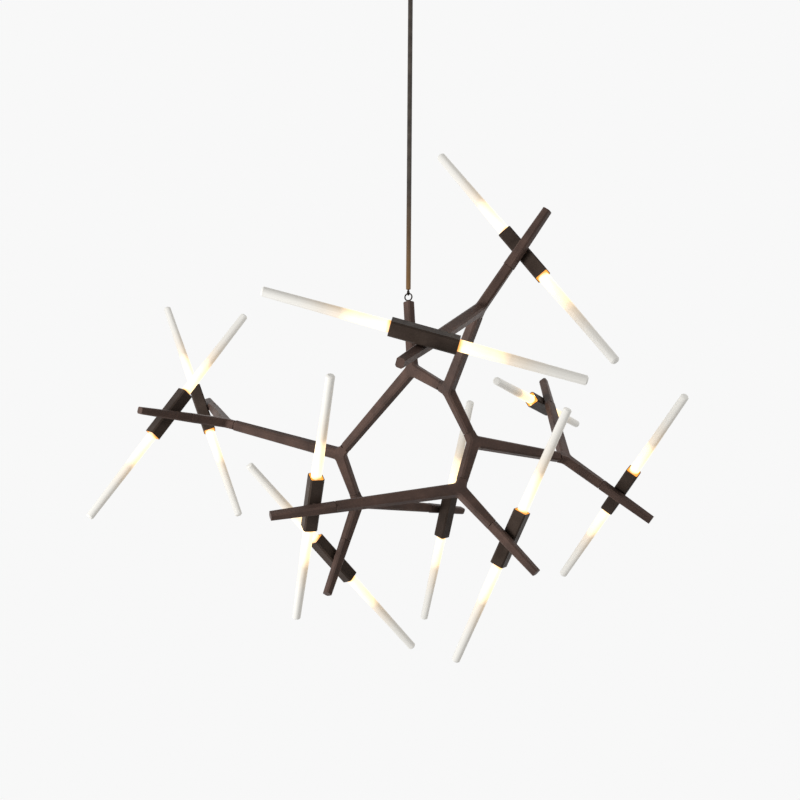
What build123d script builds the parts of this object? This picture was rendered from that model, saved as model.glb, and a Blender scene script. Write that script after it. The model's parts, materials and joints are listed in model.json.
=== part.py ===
"""Branching pendant chandelier: Y-shaped branches on swivels carry ten lamp heads with two glass tubes each.

Millimetres, +Z up, origin at the middle of the ceiling bracket's top face. The chandelier hangs below it.
"""
import os
from math import cos, pi, radians, sqrt, tan

from build123d import *

os.makedirs("parts", exist_ok=True)

# Ceiling fixing
fixing_spacing = 80.0
fixing_hole_r = 2.75
strap_width = 26.0
strap_thick = 2.5
strap_foot = 24.0
strap_drop = 11.0
strap_step = 5.0
nipple_r = 4.0
nipple_bore_r = 2.6
nipple_top_gap = 3.0
nipple_in_rod = 22.0
nut_flats = 14.0
nut_height = 4.0
terminal_width = 12.0
terminal_length = 22.0
terminal_height = 14.0
terminal_hole_r = 1.8
terminal_pitch = 7.0
terminal_gap = 2.0
canopy_r = 65.0
canopy_height = 36.0
canopy_wall = 1.5
canopy_bevel = 8.0
collar_r = 10.0
collar_height = 12.0
collar_chamfer = 1.5

# Rod and the two linked eyes, down to the axis that the chandelier swings on
drop = 826.5
rod_r = 6.0
rod_top_gap = 0.3
rod_lip = 5.0
rod_tip_chamfer = 1.8
rod_eye_r = 5.5
stem_eye_r = 9.2
eye_wire_r = 1.75
eye_wire_flats = 8
eye_neck_r = 2.0
eye_head = 4.0
eye_collar_r = 4.5
eye_collar = 1.2
eye_shank = 14.0
eye_turn = 70.0

# Stem and branches
stem_reach = 191.5
stem_width = 22.5
stem_thick = 21.5
stem_chamfer = 3.0
lean_right = 3.3
lean_front = 10.6
stem_top_chamfer = 2.0
arm_long = 300.0
arm_short = 113.0
arm_root = 30.0
arm_end = 23.5
arm_thick = 23.0
arm_chamfer = 4.0
spread_long = 60.0
spread_short = 57.0
stub = 27.0
stub_width = 25.0
crotch_r = 10.0
wire_side = 6.5

# Swivel at the end of each arm
seam_ring = 1.2
seam_ring_r = 11.0
seam_ring_flats = 8
spigot_r = 7.5
spigot_length = 18.0
socket_end_gap = 1.0

# Lamp heads
tail_length = 153.0
tail_tip = 17.5
tail_thick = 21.5
tail_chamfer = 3.5
crossing = 47.0
boss_r = 9.0
boss_height = 2.0
stud_r = 5.0
stud_bore_r = 3.2
stud_end_gap = 1.0
sleeve_length = 141.0
sleeve_width = 33.0
sleeve_wall = 2.0
sleeve_chamfer = 3.5
glass_visible = 265.0
glass_seat = 26.0
glass_taper = 2.3
glass_wall = 2.0
glass_tip_bevel = 3.0
glass_flats = 16
plug_length = 16.0
plug_lip = 6.0
led_side = 10.0
led_length = 150.0
led_bevel = 2.0

# Clearances
running_fit = 0.05
push_fit = 0.1
eye_gap = 0.3
eye_head_gap = 0.45
glass_gap = 2.0
same_distance = 0.01

# Which arm carries each branch, and how far the branch is turned about that arm
branch_tree = {
    "b": ("a", "short", -56),
    "e": ("a", "long", 52),
    "h": ("b", "long", -161),
    "c": ("b", "short", -19),
    "i": ("c", "long", 53),
    "d": ("c", "short", -57),
    "g": ("e", "long", -158),
    "f": ("e", "short", -166),
}
first_turn = -133

# Which arm carries each head, how far its tail is turned, and the angle between tail and sleeve
head_tree = {
    1: ("h", "short", -106, 73),
    2: ("h", "long", -77, 73),
    3: ("i", "long", 23, 135),
    4: ("i", "short", 105, 90),
    5: ("d", "short", -129, 108),
    6: ("f", "long", -153, 76),
    7: ("f", "short", 13, 73),
    8: ("d", "long", 117, 84),
    9: ("g", "short", 93, 59),
    10: ("g", "long", -120, 61),
}

# Sizes that follow from the ones above
strap_length = fixing_spacing + strap_foot
terminal_offset = nut_flats / sqrt(3) + terminal_gap + terminal_width / 2
rod_bore_r = nipple_r + running_fit
eye_head_r = rod_bore_r - eye_head_gap
strap_underside = -strap_drop - strap_thick
nipple_top = -nipple_top_gap
rod_top = strap_underside - nut_height - rod_top_gap
swing_point = Vector(0, 0, -drop)
rod_end = -drop + 2 * rod_eye_r + eye_wire_r + eye_gap
socket_r = spigot_r + running_fit
socket_depth = spigot_length + socket_end_gap
stud_reach = boss_height + tail_thick / 2 - stud_end_gap
sleeve_half = sleeve_length / 2
sleeve_height = tail_thick / 2 + boss_height + sleeve_width / 2
glass_root_r = sleeve_width / 2 - sleeve_wall - glass_gap
glass_tip_r = glass_root_r - glass_taper
glass_start = sleeve_half - glass_seat
glass_end = sleeve_half + glass_visible
lip_side = sqrt(2) * ((glass_root_r - glass_wall) * cos(pi / glass_flats) - push_fit)
arm_spread = {"long": spread_long, "short": -spread_short}
arm_length = {"long": arm_long, "short": arm_short}


def turned(direction, about, angle):
    """Direction turned about an axis through the origin, in degrees."""
    return direction.rotate(Axis((0, 0, 0), about), angle)


def arm_direction(plane, arm):
    """Direction of one arm of a branch: its plane's Y is the way the stub points in."""
    return turned(plane.y_dir, plane.z_dir, -arm_spread[arm])


def branch_plane(plane, arm, turn):
    """Plane of the branch that an arm carries, with its origin where the three limbs meet."""
    flow = arm_direction(plane, arm)
    across = turned(plane.z_dir, flow, turn)
    return Plane(plane.origin + flow * (arm_length[arm] + stub), x_dir=across, z_dir=across.cross(flow))


def tail_plane(plane, arm, turn):
    """Plane of the tail that an arm carries, with its origin at the seam and Z towards the sleeve."""
    flow = arm_direction(plane, arm)
    face = turned(plane.z_dir, flow, turn)
    return Plane(plane.origin + flow * arm_length[arm], x_dir=flow.cross(face), z_dir=face)


def sleeve_plane(plane, angle):
    """Plane across the middle of a sleeve, with Z along the sleeve and X away from the tail."""
    middle = plane.from_local_coords((0, crossing, sleeve_height))
    along = turned(plane.y_dir, plane.z_dir, -angle)
    return Plane(middle, x_dir=plane.z_dir, z_dir=along)


def finish(part, label):
    """Name a piece and write it."""
    part.label = label
    export_step(part, f"parts/{label}.step")


def add_spigot(seam):
    """Neck ring and round spigot at a seam, whose plane looks into the carrying arm."""
    with BuildSketch(seam.offset(-seam_ring)) as neck:
        RegularPolygon(seam_ring_r, seam_ring_flats, rotation=180 / seam_ring_flats)
    extrude(neck.sketch, amount=seam_ring)
    with BuildSketch(seam) as spigot:
        Circle(spigot_r)
    extrude(spigot.sketch, amount=spigot_length)


def long_edges(piece, plane):
    """Edges of the two broad faces without those across the ends, whose corners lie equally far out."""
    broad_faces = piece.faces().filter_by(Axis(plane.origin, plane.z_dir))
    return [
        edge
        for edge in broad_faces.edges()
        if edge.geom_type != GeomType.LINE
        or abs((edge @ 0 - plane.origin).length - (edge @ 1 - plane.origin).length) > same_distance
    ]


def limb(angle, length, end):
    """Corners of a limb that tapers outwards from the middle of a branch, at an angle from the way in."""
    square = [(-arm_root / 2, 0), (arm_root / 2, 0), (end / 2, length), (-end / 2, length)]
    return [Vector(x, y).rotate(Axis.Z, angle) for x, y in square]


def make_branch(plane, label):
    """Y-shaped casting with a spigot on its stub and a socket in the end of each arm."""
    with BuildPart() as branch:
        with BuildSketch(plane) as outline:
            Polygon(*limb(-spread_long, arm_long, arm_end), align=None)
            Polygon(*limb(spread_short, arm_short, arm_end), align=None)
            Polygon(*limb(180, stub - seam_ring, stub_width), align=None)
            fillet(outline.vertices().sort_by_distance((0, 0, 0))[:3], crotch_r)
        extrude(amount=arm_thick / 2, both=True)
        chamfer(long_edges(branch, plane), arm_chamfer)
        add_spigot(Plane(plane.from_local_coords((0, -stub, 0)), x_dir=plane.x_dir, z_dir=-plane.y_dir))
        for arm, length in arm_length.items():
            flow = arm_direction(plane, arm)
            with Locations(Plane(plane.origin + flow * length, x_dir=plane.z_dir, z_dir=flow)):
                Hole(socket_r, depth=socket_depth)
        with BuildSketch(plane):
            Rectangle(wire_side, arm_long, rotation=-spread_long, align=(Align.CENTER, Align.MIN))
            Rectangle(wire_side, arm_short, rotation=spread_short, align=(Align.CENTER, Align.MIN))
            Rectangle(wire_side, stub + spigot_length, rotation=180, align=(Align.CENTER, Align.MIN))
        extrude(amount=wire_side / 2, both=True, mode=Mode.SUBTRACT)
    finish(branch.part, label)


def make_tail(plane, label):
    """Tapered bar with a spigot at its root and a boss and bore for the sleeve's stud."""
    with BuildPart() as tail:
        with BuildSketch(plane):
            with BuildLine():
                Polyline(
                    (-arm_end / 2, seam_ring),
                    (arm_end / 2, seam_ring),
                    (tail_tip / 2, tail_length),
                    (-tail_tip / 2, tail_length),
                    close=True,
                )
            make_face()
        extrude(amount=tail_thick / 2, both=True)
        chamfer(long_edges(tail, plane), tail_chamfer)
        with BuildSketch(plane):
            with Locations((0, crossing)):
                Circle(boss_r)
        extrude(amount=tail_thick / 2 + boss_height)
        add_spigot(Plane(plane.origin, x_dir=plane.x_dir, z_dir=-plane.y_dir))
        with BuildSketch(plane):
            with Locations((0, -spigot_length)):
                Rectangle(wire_side, spigot_length + crossing, align=(Align.CENTER, Align.MIN))
        extrude(amount=wire_side / 2, both=True, mode=Mode.SUBTRACT)
        boss_top = plane.from_local_coords((0, crossing, tail_thick / 2 + boss_height))
        with Locations(Plane(boss_top, x_dir=plane.x_dir, z_dir=plane.z_dir)):
            Hole(stud_r + running_fit, depth=boss_height + tail_thick / 2)
    finish(tail.part, label)


def make_sleeve(plane, label):
    """Square tube, open at both ends, with the hollow stud that turns in the tail's boss."""
    with BuildPart() as sleeve:
        with BuildSketch(plane.offset(-sleeve_half)) as section:
            Rectangle(sleeve_width, sleeve_width)
            chamfer(section.vertices(), sleeve_chamfer)
            offset(amount=-sleeve_wall, kind=Kind.INTERSECTION, mode=Mode.SUBTRACT)
        extrude(amount=sleeve_length)
        near_face = plane.from_local_coords((-sleeve_width / 2, 0, 0))
        stud_seat = Plane(near_face, x_dir=plane.z_dir, z_dir=-plane.x_dir)
        with BuildSketch(stud_seat):
            Circle(stud_r)
        extrude(amount=stud_reach)
        with Locations(stud_seat.offset(stud_reach)):
            Hole(stud_bore_r, depth=stud_reach + sleeve_wall)
    finish(sleeve.part, label)


def glass_section(plane, distance, radius):
    """Section of a glass tube, which has flats along it, at a distance from the sleeve's middle."""
    with BuildSketch(plane.offset(distance)) as section:
        RegularPolygon(radius, glass_flats)
    return section.sketch


def make_glass(plane, label):
    """Pair of tapered tubes, closed at the tips, that start inside the sleeve's two ends."""
    outside = [
        glass_section(plane, glass_start, glass_root_r),
        glass_section(plane, glass_end - glass_tip_bevel, glass_tip_r),
        glass_section(plane, glass_end, glass_tip_r - glass_tip_bevel),
    ]
    inside = [
        glass_section(plane, glass_start, glass_root_r - glass_wall),
        glass_section(plane, glass_end - glass_tip_bevel, glass_tip_r - glass_wall),
    ]
    with BuildPart() as glass:
        loft(outside, ruled=True)
        loft(inside, ruled=True, mode=Mode.SUBTRACT)
        mirror(about=plane)
    finish(glass.part, label)


def make_lamps(plane, label):
    """Pair of light sticks on square plugs that seat in the sleeve and centre the glass."""
    with BuildPart() as lamps:
        with BuildSketch(plane.offset(glass_start)):
            Rectangle(led_side, led_side)
        extrude(amount=led_length)
        chamfer(lamps.faces().sort_by(Axis(plane.origin, plane.z_dir))[-1].edges(), led_bevel)
        with BuildSketch(plane.offset(glass_start - plug_length)) as plug:
            Rectangle(sleeve_width, sleeve_width)
            chamfer(plug.vertices(), sleeve_chamfer)
            offset(amount=-sleeve_wall - push_fit, kind=Kind.INTERSECTION, mode=Mode.REPLACE)
        extrude(amount=plug_length)
        with BuildSketch(plane.offset(glass_start)):
            Rectangle(lip_side, lip_side)
        extrude(amount=plug_lip)
        mirror(about=plane)
    finish(lamps.part, label)


# Ceiling bracket: a strap whose feet lie on the ceiling and whose middle stands below it
with BuildPart() as ceiling_bracket:
    with BuildSketch(Plane.XZ) as strap_profile:
        with BuildLine() as strap_top:
            Polyline(
                (-strap_length / 2, 0),
                (-strap_length / 2 + strap_foot, 0),
                (-strap_length / 2 + strap_foot + strap_step, -strap_drop),
                (strap_length / 2 - strap_foot - strap_step, -strap_drop),
                (strap_length / 2 - strap_foot, 0),
                (strap_length / 2, 0),
            )
            offset(amount=strap_thick, side=Side.RIGHT)
        make_face()
    extrude(amount=strap_width / 2, both=True)
    with GridLocations(fixing_spacing, 0, 2, 1):
        Hole(fixing_hole_r)
    Hole(nipple_r + push_fit)
finish(ceiling_bracket.part, "ceiling_bracket")

# Hollow threaded tube that joins the strap and the rod
with BuildPart() as nipple:
    with BuildSketch(Plane.XY.offset(nipple_top)):
        Circle(nipple_r)
        Circle(nipple_bore_r, mode=Mode.SUBTRACT)
    extrude(amount=rod_top - nipple_in_rod - nipple_top)
finish(nipple.part, "nipple")

# Two nuts clamp the strap between them
with BuildPart() as nipple_nuts:
    with BuildSketch(Plane.XY.offset(-strap_drop), Plane.XY.offset(strap_underside - nut_height)):
        RegularPolygon(nut_flats / 2, 6, major_radius=False)
        Circle(nipple_r + running_fit, mode=Mode.SUBTRACT)
    extrude(amount=nut_height)
finish(nipple_nuts.part, "nipple_nuts")

# Terminal block under the strap, with its wire holes along X
with BuildPart() as terminal_block:
    with BuildSketch(Plane.XY.offset(strap_underside)):
        with Locations((terminal_offset, 0)):
            Rectangle(terminal_width, terminal_length)
    extrude(amount=-terminal_height)
    with BuildSketch(Plane.YZ.offset(terminal_offset - terminal_width / 2)):
        with Locations((0, strap_underside - terminal_height / 2)):
            with GridLocations(terminal_pitch, 0, 3, 1):
                Circle(terminal_hole_r)
    extrude(amount=terminal_width, mode=Mode.SUBTRACT)
finish(terminal_block.part, "terminal_block")

# Canopy: a spun cup against the ceiling
with BuildPart() as canopy:
    with BuildSketch(Plane.XY):
        Circle(canopy_r)
    extrude(amount=-canopy_height)
    chamfer(canopy.edges().sort_by(Axis.Z)[0], canopy_bevel)
    offset(amount=-canopy_wall, openings=canopy.faces().sort_by(Axis.Z)[-1])
    Hole(rod_r + push_fit)
finish(canopy.part, "canopy")

# Collar that holds the canopy up
with BuildPart() as canopy_collar:
    with BuildSketch(Plane.XY.offset(-canopy_height)):
        Circle(collar_r)
        Circle(rod_r + running_fit, mode=Mode.SUBTRACT)
    extrude(amount=-collar_height)
    chamfer(canopy_collar.edges().group_by(Axis.Z)[0].sort_by(SortBy.RADIUS)[-1], collar_chamfer)
finish(canopy_collar.part, "canopy_collar")

# Suspension rod: a tube whose lower end is closed to a lip for the swivelling eye
with BuildPart() as suspension_rod:
    with BuildSketch(Plane.XY.offset(rod_end)):
        Circle(rod_r)
    extrude(amount=rod_top - rod_end)
    chamfer(suspension_rod.edges().sort_by(Axis.Z)[0], rod_tip_chamfer)
    with Locations((0, 0, rod_top)):
        Hole(rod_bore_r, depth=rod_top - rod_end - rod_lip)
        Hole(eye_neck_r + running_fit)
finish(suspension_rod.part, "suspension_rod")

# Upper eye: its head lies on the rod's lip and its neck turns in the lip's hole
upwards = Vector(0, 0, 1)
swing_axis = turned(Vector(1, 0, 0), upwards, eye_turn)
rod_eye_ring = Plane(swing_point + upwards * rod_eye_r, x_dir=swing_axis, z_dir=swing_axis.cross(upwards))
with BuildPart() as rod_eye:
    with BuildSketch(Plane(rod_eye_ring.origin, x_dir=rod_eye_ring.x_dir, z_dir=rod_eye_ring.y_dir)):
        with Locations((rod_eye_r, 0)):
            RegularPolygon(eye_wire_r, eye_wire_flats, rotation=180 / eye_wire_flats)
    revolve(axis=Axis(rod_eye_ring.origin, rod_eye_ring.z_dir))
    with BuildSketch(Plane.XY.offset(rod_end - eye_gap - eye_wire_r)):
        Circle(eye_neck_r)
    extrude(amount=eye_wire_r + eye_gap + rod_lip)
    with BuildSketch(Plane.XY.offset(rod_end + rod_lip)):
        Circle(eye_head_r)
    extrude(amount=eye_head)
finish(rod_eye.part, "rod_eye")

# Lower eye: it hangs in the upper one and is screwed into the stem
stem_flow = Vector(tan(radians(lean_right)), -tan(radians(lean_front)), -1).normalized()
stem_side = stem_flow.cross(Vector(0, 1, 0)).normalized()
stem_eye_centre = stem_eye_r - 2 * eye_wire_r - eye_gap
stem_top = stem_eye_centre + stem_eye_r + eye_wire_r + eye_collar
ring_normal = (swing_axis - stem_flow * swing_axis.dot(stem_flow)).normalized()
stem_line = Plane(swing_point, x_dir=ring_normal, z_dir=stem_flow)
stem_eye_ring = Plane(stem_line.offset(stem_eye_centre).origin, x_dir=stem_flow, z_dir=ring_normal)
with BuildPart() as stem_eye:
    with BuildSketch(Plane(stem_eye_ring.origin, x_dir=stem_eye_ring.x_dir, z_dir=stem_eye_ring.y_dir)):
        with Locations((stem_eye_r, 0)):
            RegularPolygon(eye_wire_r, eye_wire_flats, rotation=180 / eye_wire_flats)
    revolve(axis=Axis(stem_eye_ring.origin, stem_eye_ring.z_dir))
    with BuildSketch(stem_line.offset(stem_eye_centre + stem_eye_r)):
        Circle(eye_neck_r)
    extrude(amount=eye_wire_r + eye_collar + eye_shank)
    with BuildSketch(stem_line.offset(stem_top - eye_collar)):
        Circle(eye_collar_r)
    extrude(amount=eye_collar)
finish(stem_eye.part, "stem_eye")

# First branch and the stem above it
first_across = turned(stem_side, stem_flow, first_turn)
planes = {}
planes["a"] = Plane(
    swing_point + stem_flow * stem_reach, x_dir=first_across, z_dir=first_across.cross(stem_flow)
)
stem_length = stem_reach - stub - stem_top
solid_head = 2 * eye_shank
stem_head = Plane(swing_point + stem_flow * stem_top, x_dir=first_across, z_dir=stem_flow)
with BuildPart() as stem:
    with BuildSketch(stem_head) as stem_section:
        Rectangle(stem_width, stem_thick)
        chamfer(stem_section.vertices(), stem_chamfer)
    extrude(amount=stem_length)
    chamfer(stem.faces().sort_by(Axis(stem_head.origin, stem_flow))[0].edges(), stem_top_chamfer)
    with Locations(Plane(stem_head.origin, x_dir=first_across, z_dir=-stem_flow)):
        Hole(eye_neck_r + running_fit, depth=eye_shank)
    with Locations(stem_head.offset(stem_length)):
        Hole(socket_r, depth=socket_depth)
    with BuildSketch(stem_head.offset(solid_head)):
        Rectangle(wire_side, wire_side)
    extrude(amount=stem_length - solid_head, mode=Mode.SUBTRACT)
finish(stem.part, "stem")

# The branches in order from the stem outwards
for name, (carrier, arm, turn) in branch_tree.items():
    planes[name] = branch_plane(planes[carrier], arm, turn)
for name, plane in planes.items():
    make_branch(plane, f"branch_{name}")

# The ten heads
for number, (carrier, arm, turn, angle) in head_tree.items():
    tail_at = tail_plane(planes[carrier], arm, turn)
    sleeve_at = sleeve_plane(tail_at, angle)
    make_tail(tail_at, f"tail_{number}")
    make_sleeve(sleeve_at, f"sleeve_{number}")
    make_glass(sleeve_at, f"glass_{number}")
    make_lamps(sleeve_at, f"lamps_{number}")
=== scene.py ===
"""Looks of the branching chandelier: materials, light and the photograph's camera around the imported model."""

import json
from math import radians

import bpy
import numpy as np
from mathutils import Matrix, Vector

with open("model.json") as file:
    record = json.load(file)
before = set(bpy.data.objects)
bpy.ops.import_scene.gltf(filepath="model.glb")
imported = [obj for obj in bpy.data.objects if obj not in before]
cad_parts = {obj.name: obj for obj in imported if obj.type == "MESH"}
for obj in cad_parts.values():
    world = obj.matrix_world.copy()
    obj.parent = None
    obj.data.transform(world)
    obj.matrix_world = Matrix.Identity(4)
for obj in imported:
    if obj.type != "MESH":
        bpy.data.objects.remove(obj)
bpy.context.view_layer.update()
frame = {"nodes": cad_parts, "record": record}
scene = bpy.context.scene

# Lengths in metres
ROD_LAMPLIT_LENGTH = 0.25
EDGE_RADIUS = 0.0009
INSIDE_DEPTH = 0.005
FLOOR_HEIGHT = -3.0
FLOOR_HALF = 40.0

# Linear colours of the metals
BRONZE_DARK = (0.062, 0.043, 0.037, 1)
BRONZE_LIGHT = (0.112, 0.071, 0.058, 1)
# Light colour of worn edges, which also paints a highlight along them
BRONZE_WORN_AND_HIGHLIGHT = (0.24, 0.18, 0.135, 1)
SLEEVE_DARK = (0.034, 0.024, 0.019, 1)
SLEEVE_LIGHT = (0.062, 0.045, 0.036, 1)
# Warm brass-orange of the sleeves' insides, painted lamplight
PAINTED_LAMPLIGHT_INSIDE = (0.36, 0.25, 0.13, 1)
ROD_DARK = (0.037, 0.030, 0.025, 1)
ROD_LIGHT = (0.082, 0.068, 0.056, 1)
# Painted warm lamplight on the rod's lower end
ROD_LAMPLIT = (0.250, 0.132, 0.045, 1)
EYE_DARK = (0.010, 0.007, 0.005, 1)
EYE_LIGHT = (0.026, 0.018, 0.013, 1)
STEEL_DARK = (0.42, 0.43, 0.44, 1)
STEEL_LIGHT = (0.62, 0.62, 0.60, 1)

# Linear colours of the plastics, the light sticks and the glass
PLASTIC_DARK = (0.66, 0.64, 0.58, 1)
PLASTIC_LIGHT = (0.74, 0.72, 0.67, 1)
STICK_DARK = (0.80, 0.77, 0.70, 1)
STICK_LIGHT = (0.88, 0.86, 0.80, 1)
STICK_GLOW_MIDDLE = (1.0, 0.90, 0.70, 1)
STICK_GLOW_RIM = (1.0, 0.76, 0.44, 1)
GLASS_LOW = (0.46, 0.455, 0.435, 1)
GLASS_HIGH = (0.53, 0.525, 0.505, 1)
GLOW_ROOT = (1.0, 0.38, 0.04, 1)
GLOW_CORE = (1.0, 0.70, 0.33, 1)
GLOW_FADE = (1.0, 0.76, 0.50, 1)
GLOW_THIN = (1.0, 0.94, 0.84, 1)
GLOW_TIP = (1.0, 0.97, 0.90, 1)

# Colour and level of the glass's glow, from its sleeve at 0 to its tip at 1
GLOW_COLOURS = (
    (0.0, GLOW_ROOT),
    (0.03, GLOW_CORE),
    (0.25, GLOW_CORE),
    (0.41, GLOW_FADE),
    (0.70, GLOW_THIN),
    (1.0, GLOW_TIP),
)
GLOW_LEVELS = (
    (0.0, 0.36),
    (0.03, 1.0),
    (0.26, 0.72),
    (0.40, 0.22),
    # From about half way to the tip, a faint even glow: partly the lamp's light along the glass, partly painted
    # light that evens out the glass's shade
    (0.52, 0.160),
    (0.72, 0.142),
    (1.0, 0.138),
)
GLOW_STRENGTH = 2.2
# Painted orange glow on the sleeves' insides
SLEEVE_GLOW_STRENGTH = 0.9
STICK_GLOW_STRENGTH = 2.0

# Shares: worn metal with its painted edge highlight at its most, how far the glass's streaks are drawn out, and
# how squarely an end faces
WEAR_AND_HIGHLIGHT_SHARE = 0.35
STREAK_DRAW = 0.985
END_FACING = 0.3

# Studio: colours, then each lamp's place, size and power
BACKGROUND = (0.939, 0.939, 0.939, 1)
FLOOR_SEEN = (0.985, 0.985, 0.985, 1)
FLOOR_OWN = (0.28, 0.28, 0.277, 1)
FLOOR_SEEN_SHARE = 0.95
AMBIENT = (1.0, 0.985, 0.965, 1)
AMBIENT_LEVEL = 0.07
LAMP_TARGET = Vector((0.0, 0.0, -1.15))
LAMPS = {
    "key": (Vector((-2.9, -2.1, -1.5)), 1.5, 165.0),
    "fill": (Vector((2.6, -0.9, 0.4)), 1.3, 34.0),
    "rim": (Vector((0.6, 2.6, 0.7)), 2.0, 7.0),
}

# Camera fitted to the photograph: metres, degrees and millimetres
CAMERA_PLACE = (-0.0634, -3.538, -1.2288)
CAMERA_TURN = (92.5484, -0.4634, -0.0004)
CAMERA_LENS = 64.058
CAMERA_SENSOR = 36.0
CAMERA_SHIFT = (0.023, -0.009)

# Places of the colour sockets on Blender's Mix node
MIX_FACTOR = 0
MIX_FIRST = 6
MIX_SECOND = 7
MIX_RESULT = 2


class Shader:
    """Node tree of a material or of the world, with short ways to add and join nodes."""

    def __init__(self, owner):
        owner.use_nodes = True
        self.owner = owner
        self.tree = owner.node_tree

    def join(self, node, inputs):
        """Sockets or plain values on a node's inputs."""
        for key, value in inputs.items():
            if isinstance(value, bpy.types.NodeSocket):
                self.tree.links.new(value, node.inputs[key])
            else:
                node.inputs[key].default_value = value

    def node(self, kind, inputs=None, **properties):
        """New node, with sockets or plain values on its inputs."""
        new = self.tree.nodes.new("ShaderNode" + kind)
        for key, value in properties.items():
            setattr(new, key, value)
        self.join(new, inputs or {})
        return new

    def surface(self, settings):
        """Material with these settings on its main shader."""
        self.join(self.tree.nodes["Principled BSDF"], settings)
        return self.owner

    def place(self):
        """Position on the object at rest."""
        return self.node("TexCoord").outputs["Object"]

    def facing(self):
        """Normal of the object at rest."""
        return self.node("TexCoord").outputs["Normal"]

    def math(self, operation, a, b=0.0, clamp=False):
        """Result of an operation on two numbers."""
        return self.node("Math", {0: a, 1: b}, operation=operation, use_clamp=clamp).outputs[0]

    def subtract(self, a, b):
        """Difference of two vectors."""
        return self.node("VectorMath", {0: a, 1: b}, operation="SUBTRACT").outputs["Vector"]

    def stretch(self, direction, length):
        """Direction made as long as a number says."""
        return self.node("VectorMath", {0: direction, "Scale": length}, operation="SCALE").outputs["Vector"]

    def dot(self, vector, direction):
        """Length of a vector along a direction."""
        return self.node("VectorMath", {0: vector, 1: direction}, operation="DOT_PRODUCT").outputs["Value"]

    def noise(self, place, scale, detail=3.0):
        """Soft noise between 0 and 1."""
        inputs = {"Vector": place, "Scale": scale, "Detail": detail, "Roughness": 0.55}
        return self.node("TexNoise", inputs).outputs["Fac"]

    def cells(self, place, scale):
        """Distance from the middle of a cell in a field of cells."""
        return self.node("TexVoronoi", {"Vector": place, "Scale": scale}).outputs["Distance"]

    def spread(self, value, low=0.3, high=0.7, start=0.0, end=1.0):
        """Value brought from low..high to start..end, and held there."""
        inputs = {"Value": value, "From Min": low, "From Max": high, "To Min": start, "To Max": end}
        return self.node("MapRange", inputs).outputs["Result"]

    def mix(self, factor, first, second, blend="MIX"):
        """Colour between two colours."""
        inputs = {MIX_FACTOR: factor, MIX_FIRST: first, MIX_SECOND: second}
        return self.node("Mix", inputs, data_type="RGBA", blend_type=blend).outputs[MIX_RESULT]

    def grey(self, value):
        """Grey of a given level."""
        return self.node("CombineColor", {0: value, 1: value, 2: value}).outputs[0]

    def ramp(self, value, stops):
        """Colour along a scale from 0 to 1."""
        new = self.node("ValToRGB", {"Fac": value})
        elements = new.color_ramp.elements
        elements[0].position, elements[0].color = stops[0]
        elements[1].position, elements[1].color = stops[-1]
        for position, colour in stops[1:-1]:
            elements.new(position).color = colour
        return new.outputs["Color"]

    def edge_wear_and_highlight(self, place, scale):
        """Share of worn metal with a painted edge highlight, which follows the sharp edges unevenly."""
        rounded = self.node("Bevel", {"Radius": EDGE_RADIUS}, samples=6).outputs[0]
        flat = self.node("NewGeometry").outputs["True Normal"]
        turned = self.math("SUBTRACT", 1.0, self.dot(rounded, flat))
        edge = self.spread(turned, low=0.01, high=0.16)
        patches = self.spread(self.noise(place, scale, detail=5.0), low=0.35, start=0.25)
        return self.math("MULTIPLY", edge, patches, clamp=True)

    def round_normal(self, away, along, axis):
        """Normal of a round tube on its flats, and the mesh's own normal on its end."""
        outward = self.subtract(away, self.stretch(axis, along))
        as_posed = {"vector_type": "NORMAL", "convert_from": "OBJECT", "convert_to": "WORLD"}
        turned = self.node("VectorTransform", {"Vector": outward}, **as_posed)
        own = self.node("NewGeometry").outputs["Normal"]
        end = self.math("GREATER_THAN", self.math("ABSOLUTE", self.dot(self.facing(), axis)), END_FACING)
        return self.mix(end, turned.outputs[0], own)

    def bump(self, height, strength, distance, **normal):
        """Normal with fine relief, on the mesh's own normal or on a given one."""
        inputs = {"Height": height, "Strength": strength, "Distance": distance, **normal}
        return self.node("Bump", inputs).outputs[0]

    def seen(self):
        """1 for a camera ray, or one mirrored or let through on its way, and 0 for the others."""
        ray = self.node("LightPath").outputs
        either = self.math("MAXIMUM", ray["Is Camera Ray"], ray["Is Glossy Ray"])
        return self.math("MAXIMUM", either, ray["Is Transmission Ray"])


def new_material(name):
    """Shader of a new material, whose glow is seen and isn't sampled as a lamp."""
    material = bpy.data.materials.new(name)
    material.cycles.emission_sampling = "NONE"
    return Shader(material)


def bronze_settings(shader, place, dark, light):
    """Dark bronze finish, clouded, with lightly worn edges that also carry a painted highlight."""
    colour = shader.mix(shader.spread(shader.noise(place, scale=17.0, detail=4.0)), dark, light)
    speck = shader.noise(place, scale=300.0, detail=2.0)
    speck = shader.spread(speck, low=0.35, high=0.65, start=0.9, end=1.08)
    colour = shader.mix(1.0, colour, shader.grey(speck), "MULTIPLY")
    # Lighter edges: partly real wear, partly a painted highlight where edges catch the light
    wear_and_highlight = shader.math("MULTIPLY", shader.edge_wear_and_highlight(place, scale=70.0), WEAR_AND_HIGHLIGHT_SHARE)
    return {
        "Base Color": shader.mix(wear_and_highlight, colour, BRONZE_WORN_AND_HIGHLIGHT),
        "Roughness": shader.spread(shader.noise(place, scale=60.0, detail=4.0), start=0.40, end=0.52),
        "Metallic": 0.1,
        "Specular IOR Level": 0.08,
        "Normal": shader.bump(shader.noise(place, scale=600.0, detail=2.0), strength=0.03, distance=0.0003),
    }


def bronze():
    """Bronze of the branches, tails, stem and canopy."""
    shader = new_material("dark_bronze")
    return shader.surface(bronze_settings(shader, shader.place(), BRONZE_DARK, BRONZE_LIGHT))


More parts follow.
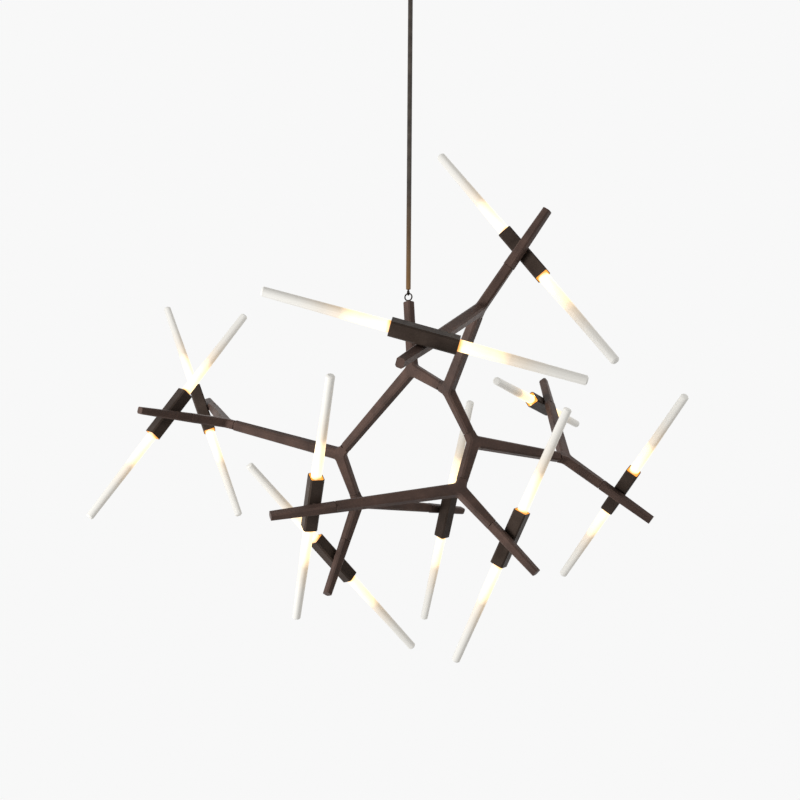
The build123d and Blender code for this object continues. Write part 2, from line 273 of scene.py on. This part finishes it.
def sleeve_bronze(name, middle, axis):
    """Darker bronze of a sleeve, whose inside has painted lamplight: a warm brass-orange colour and a painted
    orange glow.
    """
    shader = new_material(name)
    place = shader.place()
    settings = bronze_settings(shader, place, SLEEVE_DARK, SLEEVE_LIGHT)
    away = shader.subtract(place, middle)
    facing = shader.facing()
    lengthways = shader.math("MULTIPLY", shader.dot(facing, axis), shader.dot(away, axis))
    outward = shader.math("SUBTRACT", shader.dot(facing, away), lengthways)
    # The sleeve's inside gets painted lamplight: a warm colour and an orange glow
    painted_glow_inside = shader.math("LESS_THAN", outward, -INSIDE_DEPTH)
    settings["Base Color"] = shader.mix(painted_glow_inside, settings["Base Color"], PAINTED_LAMPLIGHT_INSIDE)
    settings["Emission Color"] = shader.mix(painted_glow_inside, (0, 0, 0, 1), GLOW_ROOT)
    settings["Emission Strength"] = SLEEVE_GLOW_STRENGTH
    return shader.surface(settings)


def aged_brass(name, dark, light, warm, metal, shine):
    """Dark patina on drawn brass, warmer towards the lower end of the rod, where that warmth is painted
    lamplight from the lamps below.
    """
    shader = new_material(name)
    place = shader.place()
    cloud = shader.spread(shader.noise(place, scale=34.0, detail=5.0), low=0.32, high=0.68)
    height = shader.dot(place, (0, 0, 1))
    # Towards the rod's lower end the colour turns to the warm one, which on the rod is painted lamplight
    low = shader.spread(height, low=rod_end, high=rod_end + ROD_LAMPLIT_LENGTH, start=0.75, end=0.0)
    drawn = shader.node("Mapping", {"Vector": place, "Scale": (900.0, 900.0, 6.0)}).outputs[0]
    lines = shader.noise(drawn, scale=1.0)
    return shader.surface({
        "Base Color": shader.mix(low, shader.mix(cloud, dark, light), warm),
        "Metallic": metal,
        "Specular IOR Level": shine,
        "Roughness": shader.spread(lines, start=0.32, end=0.46),
        "Normal": shader.bump(lines, strength=0.06, distance=0.0003),
    })


def zinc_steel():
    """Zinc-plated steel of the bracket, nipple and nuts."""
    shader = new_material("zinc_steel")
    place = shader.place()
    spangle = shader.cells(place, scale=260.0)
    return shader.surface({
        "Base Color": shader.mix(shader.spread(spangle, low=0.1), STEEL_DARK, STEEL_LIGHT),
        "Metallic": 0.95,
        "Roughness": shader.spread(shader.noise(place, scale=90.0), start=0.28, end=0.45),
        "Normal": shader.bump(spangle, strength=0.05, distance=0.0004),
    })


def terminal_plastic():
    """Moulded pale plastic of the terminal block."""
    shader = new_material("terminal_plastic")
    place = shader.place()
    grain = shader.noise(place, scale=1500.0, detail=2.0)
    return shader.surface({
        "Base Color": shader.mix(shader.noise(place, scale=30.0), PLASTIC_DARK, PLASTIC_LIGHT),
        "Roughness": shader.spread(grain, start=0.45, end=0.6),
        "Normal": shader.bump(grain, strength=0.1, distance=0.0002),
    })


def light_stick():
    """Light stick behind its diffuser, and the plug it stands on."""
    shader = new_material("light_stick")
    place = shader.place()
    dots = shader.cells(place, scale=240.0)
    rim = shader.spread(dots, low=0.0, high=0.5)
    return shader.surface({
        "Base Color": shader.mix(shader.noise(place, scale=50.0), STICK_DARK, STICK_LIGHT),
        "Roughness": shader.spread(dots, low=0.0, high=0.6, start=0.4, end=0.6),
        "Emission Color": shader.mix(rim, STICK_GLOW_MIDDLE, STICK_GLOW_RIM),
        "Emission Strength": STICK_GLOW_STRENGTH,
    })


def frosted_glass(name, middle, axis, sleeve_end, glass_end):
    """Frosted glass lit from the sleeve: white at the light stick, then peach, then a faint even glow towards
    the tip that also paints out the glass's shade.
    """
    shader = new_material(name)
    place = shader.place()
    away = shader.subtract(place, middle)
    along = shader.dot(away, axis)
    reach = shader.spread(shader.math("ABSOLUTE", along), low=sleeve_end, high=glass_end)
    wobble = shader.spread(shader.noise(place, scale=26.0, detail=2.0), start=-0.05, end=0.05)
    drifted = shader.math("ADD", reach, shader.math("MULTIPLY", wobble, reach), clamp=True)
    level = shader.ramp(drifted, [(position, (grey, grey, grey, 1)) for position, grey in GLOW_LEVELS])
    drawn = shader.subtract(away, shader.stretch(axis, shader.math("MULTIPLY", along, STREAK_DRAW)))
    streaks = shader.spread(shader.noise(drawn, scale=260.0, detail=2.0))
    frost = shader.noise(place, scale=500.0, detail=2.0)
    round_normal = shader.round_normal(away, along, axis)
    return shader.surface({
        "Base Color": shader.mix(streaks, GLASS_LOW, GLASS_HIGH),
        "Roughness": shader.spread(frost, start=0.42, end=0.5),
        "Emission Color": shader.mix(1.0, shader.ramp(drifted, GLOW_COLOURS), level, "MULTIPLY"),
        "Emission Strength": GLOW_STRENGTH,
        "Normal": shader.bump(frost, strength=0.008, distance=0.0003, Normal=round_normal),
    })


def pale_floor():
    """Floor that shows the background's colour and a little of its own light and shadow."""
    shader = new_material("pale_floor")
    own = shader.tree.nodes["Principled BSDF"]
    shader.join(own, {"Base Color": FLOOR_OWN, "Roughness": 0.9, "Specular IOR Level": 0.1})
    pale = shader.node("Emission", {"Color": FLOOR_SEEN, "Strength": 1.0})
    share = shader.math("MULTIPLY", shader.seen(), FLOOR_SEEN_SHARE)
    blend = shader.node("MixShader", {0: share, 1: own.outputs[0], 2: pale.outputs[0]})
    shader.join(shader.tree.nodes["Material Output"], {"Surface": blend.outputs[0]})
    return shader.owner


def studio_world():
    """World with the pale background where it is seen, and softer light elsewhere."""
    shader = Shader(bpy.data.worlds.new("studio"))
    backdrop = shader.tree.nodes["Background"]
    shader.join(backdrop, {"Color": BACKGROUND, "Strength": 1.0})
    ambient = shader.node("Background", {"Color": AMBIENT, "Strength": AMBIENT_LEVEL})
    blend = shader.node("MixShader", {0: shader.seen(), 1: ambient.outputs[0], 2: backdrop.outputs[0]})
    shader.join(shader.tree.nodes["World Output"], {"Surface": blend.outputs[0]})
    return shader.owner


def corners(node):
    """Corner points of a CAD node at rest."""
    return np.array([v.co for v in frame["nodes"][node].data.vertices], float)


def dress(node, material):
    """Material on a CAD node."""
    slots = frame["nodes"][node].data.materials
    slots.clear()
    slots.append(material)


def head_frame(number):
    """Middle of a head, the direction along it, and how far its sleeve and its glass reach along that."""
    glass = corners(f"glass_{number}")
    middle = (glass.min(0) + glass.max(0)) / 2
    along = np.linalg.svd(glass - middle, full_matrices=False)[2][0]
    sleeve_end = np.abs((corners(f"sleeve_{number}") - middle) @ along).max()
    glass_end = np.abs((glass - middle) @ along).max()
    return Vector(middle), Vector(along), sleeve_end, glass_end


def place_in_scene(name, data):
    """New object in the scene."""
    new = bpy.data.objects.new(name, data)
    scene.collection.objects.link(new)
    return new


# Materials on the nodes, by the record's slots and then by head
rod_end = corners("suspension_rod")[:, 2].min()
finishes = {
    "bronze": bronze(),
    "brass": aged_brass("aged_brass", ROD_DARK, ROD_LIGHT, ROD_LAMPLIT, metal=0.4, shine=0.4),
    "steel": zinc_steel(),
    "terminal": terminal_plastic(),
    "lamp": light_stick(),
}
for part in frame["record"]["subparts"]:
    if part["material_slot"] in finishes:
        dress(part["node"], finishes[part["material_slot"]])
eye_brass = aged_brass("eye_brass", EYE_DARK, EYE_LIGHT, EYE_LIGHT, metal=0.1, shine=0.05)
for eye in ("rod_eye", "stem_eye"):
    dress(eye, eye_brass)
for number in range(1, 11):
    middle, along, sleeve_end, glass_end = head_frame(number)
    dress(f"glass_{number}", frosted_glass(f"frosted_glass_{number}", middle, along, sleeve_end, glass_end))
    dress(f"sleeve_{number}", sleeve_bronze(f"sleeve_bronze_{number}", middle, along))

# Floor and world
floor_mesh = bpy.data.meshes.new("floor")
sides = ((-1, -1), (1, -1), (1, 1), (-1, 1))
floor_corners = [(x * FLOOR_HALF, y * FLOOR_HALF, FLOOR_HEIGHT) for x, y in sides]
floor_mesh.from_pydata(floor_corners, [], [(0, 1, 2, 3)])
floor_mesh.materials.append(pale_floor())
floor = place_in_scene("floor", floor_mesh)
scene.world = studio_world()

# Soft lamps, which leave no mirror highlights of themselves
for name, (place, size, power) in LAMPS.items():
    lamp_data = bpy.data.lights.new(name, "AREA")
    lamp_data.size = size
    lamp_data.energy = power
    lamp = place_in_scene(name, lamp_data)
    lamp.location = place
    lamp.rotation_euler = (LAMP_TARGET - place).to_track_quat("-Z", "Y").to_euler()
    lamp.visible_glossy = False

# Camera of the photograph
camera_data = bpy.data.cameras.new("photo_camera")
camera_data.sensor_width = CAMERA_SENSOR
camera_data.lens = CAMERA_LENS
camera_data.shift_x, camera_data.shift_y = CAMERA_SHIFT
camera = place_in_scene("photo_camera", camera_data)
camera.location = CAMERA_PLACE
camera.rotation_euler = [radians(turn) for turn in CAMERA_TURN]
scene.camera = camera
scene.view_settings.view_transform = "Standard"
